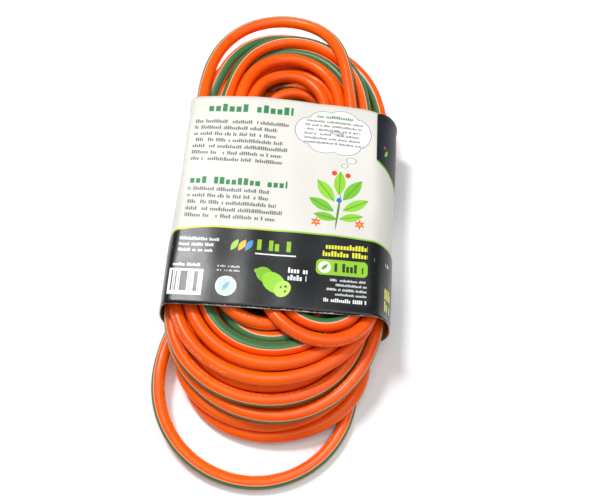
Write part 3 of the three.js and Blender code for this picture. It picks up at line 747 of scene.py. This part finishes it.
class Print(Nodes):
    """The print's shapes. Places and sizes are millimetres on the front panel."""

    def __init__(self, name):
        super().__init__(name)
        across, along = self.map_sides("print")
        self.u, self.v = across * (1 / MM), along * (1 / MM)
        self.colour = None

    def paint(self, mask, colour, strength=1.0):
        mask = mask * strength if strength < 1 else mask
        self.colour = self.mix(mask, self.colour, colour)

    def inside(self, distance, soft=0.12):
        """1 where a distance is below 0."""
        return self.fall(distance, -soft, soft)

    def length(self, a, b):
        return self.maths("SQRT", a * a + b * b)

    def in_box(self, low_u, high_u, low_v, high_v, corner=0.0):
        du = abs(self.u - (low_u + high_u) / 2) - ((high_u - low_u) / 2 - corner)
        dv = abs(self.v - (low_v + high_v) / 2) - ((high_v - low_v) / 2 - corner)
        if not corner:
            return self.inside(self.larger(du, dv))
        return self.inside(self.length(self.larger(du, 0.0), self.larger(dv, 0.0)) - corner)

    def turned(self, centre_u, centre_v, angle):
        """The place measured along and across a line through a centre at an angle."""
        c, s = cos(radians(angle)), sin(radians(angle))
        du, dv = self.u - centre_u, self.v - centre_v
        return du * c + dv * s, dv * c - du * s

    def round_distance(self, centre_u, centre_v, half_long, half_wide=None, angle=0):
        """How far outside an ellipse a place is, about right near it."""
        half_wide = half_wide or half_long
        a, b = self.turned(centre_u, centre_v, angle)
        return (self.length(a / half_long, b / half_wide) - 1.0) * ((half_long + half_wide) / 2)

    def box(self, colour, *place):
        self.paint(self.in_box(*place), colour)

    def disc(self, colour, *place):
        self.paint(self.inside(self.round_distance(*place)), colour)

    def leaf(self, colour, centre_u, centre_v, half_long, half_wide, angle, vein=None):
        """A leaf with two pointed ends, and perhaps a vein along its middle."""
        a, b = self.turned(centre_u, centre_v, angle)
        share = a / half_long
        rounded = self.larger(1.0 - share * share, 0.0)
        blade = self.inside(abs(b) - (rounded * half_wide - 0.15))
        self.paint(blade, colour)
        if vein:
            self.paint(blade * self.inside(abs(b) - 0.28), vein)

    def chance(self, *place):
        """The same random number everywhere in a cell of one or two sides."""
        made = self.node("ShaderNodeTexWhiteNoise", noise_dimensions=f"{len(place)}D")
        if len(place) == 2:
            self.link(self.pair(*place), made.inputs["Vector"])
        else:
            self.link(place[0], made.inputs["W"])
        return Value(self, made.outputs["Value"])

    def ticks(self, colour, low_u, high_u, top_v, rows, pitch, tall, stroke, ragged=0.0, align=1):
        """Rows of plain upright strokes in word-long groups, which stand for lines of text. A row may be
        shorter by up to ragged. Rows start level where align is 1, and end level where it is -1."""
        gap_share, low_share, low_height = 0.13, 0.45, 0.3
        down = (top_v - self.v) / pitch
        row, in_line = self.maths("FLOOR", down), self.maths("FRACT", down)
        along = self.u / stroke
        cell = self.maths("FLOOR", along)
        strokes = self.inside(abs(self.maths("FRACT", along) - 0.5) - 0.36, 0.05)
        words = self.step(self.chance(cell, row + (3.7 + low_u)), gap_share, gap_share + 0.0001)
        short = self.step(self.chance(cell, row + (9.1 + low_u)), low_share, low_share + 0.0001)
        below_top = self.inside(short * (tall / pitch * low_height) - in_line, 0.03)
        above_foot = self.inside(in_line - tall / pitch, 0.03)
        cut = self.chance(row + (low_u + 0.37)) * ragged
        if align > 0:
            kept = self.inside(self.u - (high_u - cut))
        else:
            kept = self.inside(low_u + cut - self.u)
        block = self.in_box(low_u, high_u, top_v - rows * pitch, top_v)
        self.paint(block * above_foot * strokes * words * below_top * kept, colour)


INK_GREY, INK_GREEN, LIME, CHARCOAL, NAVY = "#62666B", "#1C7D48", "#8EC230", "#15181A", "#141C26"


def print_words(m):
    m.ticks(INK_GREEN, -63.7, 2.5, 77.5, 1, 8.0, 6.4, 4.9)
    m.ticks(INK_GREY, -67, 1.5, 64.5, 7, 5.05, 2.9, 1.45, ragged=14)
    m.ticks(INK_GREEN, -66, 2.0, 18.5, 1, 6.6, 5.4, 4.1)
    m.ticks(INK_GREY, -66, 1.0, 10.6, 5, 5.05, 2.9, 1.45, ragged=16)


def print_cloud(m):
    """A cloud with its two bubbles, and small text in it."""
    lobes = (
        (16, 61, 11.5, 11), (25, 69, 11, 9), (38, 70.5, 12, 9), (49, 62, 10, 12),
        (40, 52, 12, 8.5), (26, 52.5, 12, 8.5), (45.5, 39.5, 3.4, 2.2), (41, 35, 2.1, 1.5),
    )
    cloud = m.round_distance(*lobes[0])
    for lobe in lobes[1:]:
        cloud = m.smaller(cloud, m.round_distance(*lobe))
    m.paint(m.inside(cloud), "#F1F0EC")
    m.paint(m.inside(abs(cloud) - 0.28), "#7E8790")
    m.ticks(INK_GREEN, 20, 46, 75.0, 1, 3.6, 2.6, 1.3)
    m.ticks(INK_GREY, 11, 54, 70.5, 6, 3.5, 1.9, 0.95, ragged=4)


def print_sprig(m):
    """A sprig of leaves with small flowers and berries."""
    m.leaf("#4E7E2A", 37.5, -1, 17, 0.9, 84)
    leaves = (
        (28.5, 14.5, 10.5, 4.4, 128), (47, 16, 10.5, 4.4, 52), (38, 21, 9.5, 4.2, 88), (26, 3.5, 10, 4, 152),
        (49.5, 4.5, 10, 4, 28), (29, -5.5, 8.5, 3.2, 168), (46.5, -5, 8.5, 3.2, 12),
    )
    for i, leaf in enumerate(leaves):
        m.leaf("#6FB92C" if i % 2 else "#8ACB33", *leaf, vein="#4E8F22")
    for u, v in ((23, -10), (52.5, -9.5)):
        for turn in range(3):
            m.leaf("#E2571D", u, v, 4.2, 1.2, 30 + 60 * turn)
        m.disc("#F3B43A", u, v, 1.1)
    for u, v, colour in ((38, 7.5, "#2F6FB5"), (34, 28.5, "#D8401C"), (43.5, 27.5, "#D8401C")):
        m.disc(colour, u, v, 1.9)


def print_band_words(m):
    m.ticks("#D9DBDB", -67, -40, -27.5, 3, 4.1, 2.3, 1.15, ragged=5)


def print_band_mark(m):
    for u, colour in ((-30, "#9CCB3B"), (-25, "#E9B52B"), (-20.5, "#3C8FC7")):
        m.leaf(colour, u, -31.5, 4.8, 2.1, 62)
    m.ticks(LIME, -16, 11, -26.5, 1, 9.0, 7.6, 3.9)
    m.box("#E8EAE6", -16, 11, -37.4, -36.4)


def print_band_bars(m):
    """Upright bars of random widths, which hold no code."""
    m.box("#F2F2EF", -70.5, -48.5, -68.5, -50.5)
    bars = m.step(m.chance(m.maths("FLOOR", m.u * 1.9)), 0.48, 0.5)
    m.paint(m.in_box(-68.8, -50.2, -66, -52) * bars, "#17191A")
    m.ticks("#E6E7E5", -69, -51, -46.3, 1, 3.0, 2.2, 1.3)


def print_band_seal(m):
    m.ticks("#C9CCCC", -40, -25, -46.5, 2, 2.9, 1.5, 0.8)
    m.disc("#E9EDEF", -33, -61, 6.9)
    m.disc("#B9D4E6", -33, -61, 5.1)
    m.leaf("#7FA9C6", -33, -61, 4.0, 1.7, 55)


def print_band_lead(m):
    """A cord's connector, and two rows beside it."""
    m.box("#7DBA2C", -15.5, -10.5, -50.6, -47.6, 1.3)
    for u, v, long, wide, angle, colour in (
        (-8.5, -51.5, 6.2, 5.0, -38, "#7DBA2C"), (-2.2, -56.5, 8.6, 6.4, -38, "#94D037"),
        (3.6, -60.6, 5.0, 6.0, -38, "#B4E35F"), (2.6, -59.4, 1.0, 0.6, 50, "#3C5C1C"),
        (5.4, -62.2, 1.0, 0.6, 50, "#3C5C1C"), (5.6, -58.8, 0.9, 0.9, 0, "#3C5C1C"),
    ):
        m.disc(colour, u, v, long, wide, angle)
    m.ticks("#F0F1EE", 6.5, 20.5, -45, 2, 5.2, 3.9, 2.0, ragged=2)


def print_band_badge(m):
    m.ticks("#E4E23C", 25.5, 58.5, -25.5, 2, 5.3, 3.8, 2.0, ragged=6, align=-1)
    m.box(LIME, 24.8, 58.8, -48, -37, 3.2)
    m.disc("#F4F6EE", 30.3, -42.5, 4.1)
    m.leaf("#5E9A26", 30.3, -42.5, 3.2, 1.4, 45)
    m.ticks("#26360F", 36, 56, -39.3, 1, 7.0, 6.2, 2.6)


def print_band_lines(m):
    m.ticks("#D3D6D6", 32, 58.5, -50.5, 4, 3.3, 1.7, 0.9, ragged=8, align=-1)
    m.ticks("#F3F4F1", 30.5, 58.5, -64.2, 1, 3.4, 2.6, 1.3)


def print_sides(m):
    """The right side's dark block with its lime edge, leaf and dot, the band's marks and the back's rows."""
    below_edge = 43.5 - abs(m.u - 62) * 0.42 - m.v
    on_side = m.step(m.u, 62.9, 63.3) * m.fall(m.u, 126, 127)
    m.paint(on_side * m.fall(below_edge, -0.1, 0.1), NAVY)
    m.paint(on_side * m.inside(abs(below_edge) - 0.9), LIME)
    m.leaf(LIME, 73.5, 52, 3.6, 1.5, 60)
    m.disc("#D8551F", 71.5, 56.5, 1.0)
    m.ticks("#F3F4F1", 75, 79.5, -33, 1, 3.4, 2.8, 1.4)
    m.ticks("#E4E23C", 75, 86, -51, 2, 8.4, 7.4, 3.1)
    m.ticks(INK_GREY, 150, 236, 60, 12, 5.4, 2.4, 1.3, ragged=16)


PRINTS = (
    print_words, print_cloud, print_sprig, print_band_words, print_band_mark, print_band_bars,
    print_band_seal, print_band_lead, print_band_badge, print_band_lines, print_sides,
)


def paint_band(m):
    """The charcoal band below a line that falls away at both ends, with a yellow and lime edge."""
    left = m.larger((-40 - m.u) / 34, 0.0)
    right = m.larger((m.u - 20) / 60, 0.0)
    below = m.v - (m.larger(-4.5 * left**2 - 4.0 * right**2, -9.0) - 19.0)
    band = m.inside(below)
    m.paint(band, CHARCOAL)
    edge_colour = m.mix(m.step(m.u, -60, 25), "#D3D21E", LIME)
    m.paint(m.inside(abs(below) - 0.6), edge_colour)
    return band


def printed_board(region, draw):
    """One region of the sleeve's outside: pale board or the band, the print on it, and wear."""
    m = Print("board_" + region)
    m.colour = m.mix(m.step(m.noise(16, 3), 0.3, 0.7), "#DCDAD3", "#D4D2CA")
    has_band = region.startswith("band") or region == "sides"
    band = paint_band(m) if has_band else 0.0
    draw(m)
    # Chips along the ends and folds, and rubbed patches on the band.
    wear = m.noise(420, 4, rough=0.75)
    from_end = m.smaller(m.v - SLEEVE_Y[0], SLEEVE_Y[1] - m.v)
    from_fold = m.smaller(abs(m.u - FRONT_RIGHT[0]), abs(m.u - FRONT_LEFT[0]))
    near = m.smaller(from_end, from_fold + 0.8)
    chips = m.inside(near - wear**3 * 3.6, 0.1) * m.step(m.noise(60, 2), 0.45, 0.6)
    m.paint(chips, "#D9D4CA", 0.85)
    if has_band:
        rubbed = m.step(m.noise(34, 4), 0.55, 0.75) * m.step(m.noise(900, 2), 0.5, 0.7)
        m.paint(band * rubbed, "#6A6E70", 0.25)
    rough = (1.0 - band) * 0.14 + (0.24 + m.noise(70, 3) * 0.14)
    m.set(Base_Color=m.colour, Roughness=rough + chips * 0.3, Specular_IOR_Level=0.34)
    first = m.bump(m.noise(9, 3) + m.noise(46, 3) * 0.16, 0.004, 0.35)
    m.bump(m.noise(1500, 2) - chips * 1.5, 0.00005, 0.5, first)
    return m.material


# ---- the plug and the connector, in millimetres ----


def plastic(name, colour, rough=0.4, grain=900, depth=0.00004, clear=0.0):
    """Moulded plastic: a little uneven in colour and gloss, with fine grain and a few rubbed marks."""
    m = Nodes(name)
    base = linear(colour)
    shade = m.mix(m.step(m.noise(120, 3), 0.25, 0.8), base, shaded(base, 0.8))
    scratch = m.step(m.noise(260, 6, rough=0.8), 0.66, 0.74)
    rubbed = tuple(min(1, c + 0.25) for c in base[:3]) + (1.0,)
    gloss = rough - 0.06 + m.noise(300, 3) * 0.14
    m.set(Base_Color=m.mix(scratch * 0.22, shade, rubbed), Roughness=gloss, Transmission_Weight=clear)
    m.bump(m.noise(grain, 3) - scratch * 0.6, depth, 0.7)
    return m.material


def metal(name, colour, rough=0.28, drawn=(1, 40, 40)):
    """Sheet or drawn metal: fine lines along it, faint tarnish and dulled patches."""
    m = Nodes(name)
    scaled = m.node("ShaderNodeVectorMath", operation="MULTIPLY")
    m.link(m.place(), scaled.inputs[0])
    scaled.inputs[1].default_value = drawn
    lines = m.noise(60, 3, scaled.outputs[0])
    tarnish = m.step(m.noise(180, 4), 0.5, 0.8)
    base = linear(colour)
    dull = rough - 0.08 + lines * 0.16 + tarnish * 0.2
    m.set(Base_Color=m.mix(tarnish * 0.55, base, shaded(base, 0.45)), Roughness=dull, Metallic=1.0)
    m.bump(lines, 0.00002, 0.6)
    return m.material


def clear_glass():
    m = Nodes("lamp_glass_clear")
    m.set(Base_Color="#E4F6D2", Roughness=0.06, Transmission_Weight=0.9, IOR=1.5)
    m.bump(m.noise(500, 2), 0.00002, 0.4)
    return m.material


PLUG_FACE, CONNECTOR_FACE = Vector((0, 33, 16.5)), Vector((0, 0, 18.5))
PLUG_END, CONNECTOR_END = 64, 68  # from the face to the strain relief's tail
PLUG_WIDER, CONNECTOR_WIDER = 31 / 27, 36 / 31
SHELL_SIDES, PROFILE_STEP = 72, 0.8
MOULD_LINE, MOULD_LINE_ABOVE = 0.12, 6
EDGE_ROUND = 0.22
CORD_HOLE = 4.8

# Half height and distance from the face: round the front's edge, back to the relief, and along the hollow.
PLUG_PROFILE = [
    (10.6, 0), (13.1, 0), (13.4, 0.5), (13.5, 1.2), (13.5, 8.6), (13.3, 10), (13, 11.2), (12.8, 13),
    (12.6, 16), (12.3, 20), (11.9, 23), (11.2, 26), (10.3, 29.5), (9.5, 32.5), (9, 34.8), (8.8, 36),
    (CORD_HOLE, 36), (CORD_HOLE, 30.6), (9, 25), (10.6, 18),
]
CONNECTOR_PROFILE = [
    (13.1, 0), (15, 0), (15.35, 0.5), (15.5, 1.4), (15.5, 11.4), (15.3, 13), (15, 14.4), (14.8, 17),
    (14.6, 20), (14.3, 23), (13.7, 26), (12.9, 29.5), (11.8, 33), (10.6, 36), (9.5, 38.8), (9, 40),
    (CORD_HOLE, 40), (CORD_HOLE, 38.2), (10.4, 31), (11.6, 26), (13.1, 22.5),
]
# Across one rib of a strain relief: the share of its pitch, and how far below its top.
RIB = ((0, 0.35), (0.08, 0.08), (0.2, 0), (0.48, 0.03), (0.6, 0.3), (0.66, 1.1), (0.9, 1.15), (0.97, 0.6))


def with_steps(profile):
    """The same closed profile with points added along its long straight stretches."""
    out = []
    for (r0, y0), (r1, y1) in zip(profile, profile[1:] + profile[:1]):
        count = max(1, int(hypot(r1 - r0, y1 - y0) / PROFILE_STEP))
        out += [(r0 + (r1 - r0) * i / count, y0 + (y1 - y0) * i / count) for i in range(count)]
    return out


def relief_profile(start, end, ribs=7, thick=8.6, thin=6.0, least=5.15):
    """Rounded rings that get smaller towards the tail, with grooves between them that let it bend."""
    profile = [(CORD_HOLE, start)]
    pitch = (end - start) / ribs
    for i in range(ribs):
        radius = thick + (thin - thick) * i / (ribs - 1)
        profile += [(max(radius - drop, least), start + i * pitch + share * pitch) for share, drop in RIB]
    return profile + [(5.3, end), (CORD_HOLE, end)]


def turned_shell(name, node, profile, wider, face, facing, body, slot, material, grips=None):
    """A closed shell of revolution, wider than high, with a moulding line on each side and rounded edges.
    grips holds where along it two thumb pads are pressed in, and their ribs' pitch."""
    co, faces = [], []
    sides = SHELL_SIDES
    for radius, y in profile:
        for k in range(sides):
            a = 2 * pi * k / sides
            r = radius
            if grips and radius > grips["above"] and grips["low"] < y < grips["high"]:
                pad = max(0.0, abs(sin(a)) - 0.55) / 0.45
                r -= pad * (0.5 + 0.35 * cos(2 * pi * y / grips["pitch"]))
            if k in (0, sides // 2) and radius > MOULD_LINE_ABOVE:
                r += MOULD_LINE
            across = facing * r * wider * cos(a)
            co.append((across * MM, (face.y + facing * y) * MM, (face.z + r * sin(a)) * MM))
    for i in range(len(profile)):
        j = (i + 1) % len(profile)
        for k in range(sides):
            q = (k + 1) % sides
            faces.append((i * sides + k, j * sides + k, j * sides + q, i * sides + q))
    piece = placed(name, new_mesh(name, co, faces))
    piece.data.materials.append(material)
    bevel = piece.modifiers.new("edges", "BEVEL")
    bevel.width, bevel.segments = EDGE_ROUND * MM, 2
    bevel.limit_method, bevel.angle_limit = "ANGLE", radians(40)
    bevel.harden_normals = True
    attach(piece, body)
    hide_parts(node)
    return piece


def cord_end(name, face, facing, jacket, tail, body, rings=24):
    """The cord inside an end, from its stripped jacket to just inside the strain relief's tail."""
    y = face.y + facing * np.linspace(jacket, tail - 0.2, rings)
    line = np.stack([np.zeros(rings), y, np.full(rings, face.z)], axis=1)[::facing]
    piece = tube(name, line * MM, np.full(rings, radians(LEAD_STRIPE)), CORD_D / 2 * MM, 24)
    piece.data.materials.append(cord_material)
    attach(piece, body)
    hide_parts(name.replace("_cord_shown", "_cord_end"))
    return piece


def make_ends():
    """Both ends' shells and strain reliefs, and the cord in them."""
    orange, lime = plastic("plug_pvc", "#EE5A14", 0.42), plastic("connector_pvc", "#A6E84A", 0.3, clear=0.3)
    plug = (PLUG_FACE, 1, "plug", "plug_orange", orange)
    lighted = (CONNECTOR_FACE, -1, "connector", "lime_translucent", lime)
    plug_grips = {"above": 11.3, "low": 9.5, "high": 25, "pitch": 2.2}
    lighted_grips = {"above": 13.2, "low": 12.5, "high": 27.5, "pitch": 2.4}
    profile = with_steps(CONNECTOR_PROFILE)
    return [
        turned_shell("plug_shell", "plug_body", with_steps(PLUG_PROFILE), PLUG_WIDER, *plug, plug_grips),
        turned_shell("plug_relief", "plug_strain_relief", relief_profile(36.3, PLUG_END), 1, *plug),
        turned_shell("connector_shell", "connector_body", profile, CONNECTOR_WIDER, *lighted, lighted_grips),
        turned_shell(
            "connector_relief", "connector_strain_relief", relief_profile(40.3, CONNECTOR_END), 1, *lighted
        ),
        cord_end("plug_cord_shown", PLUG_FACE, 1, 29.7, PLUG_END, "plug"),
        cord_end("connector_cord_shown", CONNECTOR_FACE, -1, 37.3, CONNECTOR_END, "connector"),
    ]


def finish_nodes():
    """Materials for the CAD nodes that stay, by a part of their names."""
    finishes = {
        "plug_blade_carrier": plastic("carrier_dark", "#2A2C2E", 0.5),
        "connector_contact_carrier": plastic("carrier_pale", "#DCE2D6", 0.45),
        "connector_contact": metal("bare_brass_strip", "#C9A352"),
        "plug_blade": metal("nickel_plate", "#CFCABB", 0.24),
        "plug_ground_pin": metal("nickel_pin", "#CFCABB", 0.24),
        "lamp_glass": clear_glass(),
        "lamp_lead": metal("tinned_wire", "#C4C7C9", 0.34),
        "lamp_resistor": plastic("resistor_body", "#C9A97C", 0.55),
        "wire_hot": plastic("wire_black", "#1D1E20", 0.42),
        "wire_neutral": plastic("wire_white", "#EFEFE9", 0.42),
        "wire_ground": plastic("wire_green", "#2F8F45", 0.42),
        "core_": metal("copper_strands", "#C8754A", 0.3, (60, 4, 60)),
        "sleeve_glue_line": plastic("dry_glue", "#D8C79A", 0.38, grain=400, depth=0.00015),
    }
    for name, node in NODES.items():
        if node.hide_render:
            continue
        key = next(k for k in finishes if k in name)
        node.data.materials.clear()
        node.data.materials.append(finishes[key])


# ---- making the object ----

SETTLE_ROUNDS, QUICK_ROUNDS = 420, 60
RING_STEP, CORD_SIDES = 3.6, 16

set_camera()
set_light()
lay_floor()

route, stripe, firm = laid_route()
line, (stripe, firm) = evened(route, [stripe, firm], STEP)
stripe, firm = smooth(stripe, 60), smooth(firm, 10)
line = settle(line, firm, SETTLE_ROUNDS)
line, (stripe,) = evened(smooth(line, 1), [stripe], RING_STEP)
line[0], line[-1] = PLUG_TAIL, CONNECTOR_TAIL
cord = tube("cord", line * MM, stripe, CORD_D / 2 * MM, CORD_SIDES)
cord_material = cord_pvc()
cord.data.materials.append(cord_material)
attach(cord, "hank")
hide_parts("cord_hank", "cord_lead_plug", "cord_lead_connector")

make_sleeve()
ends = make_ends()
finish_nodes()
line * MM
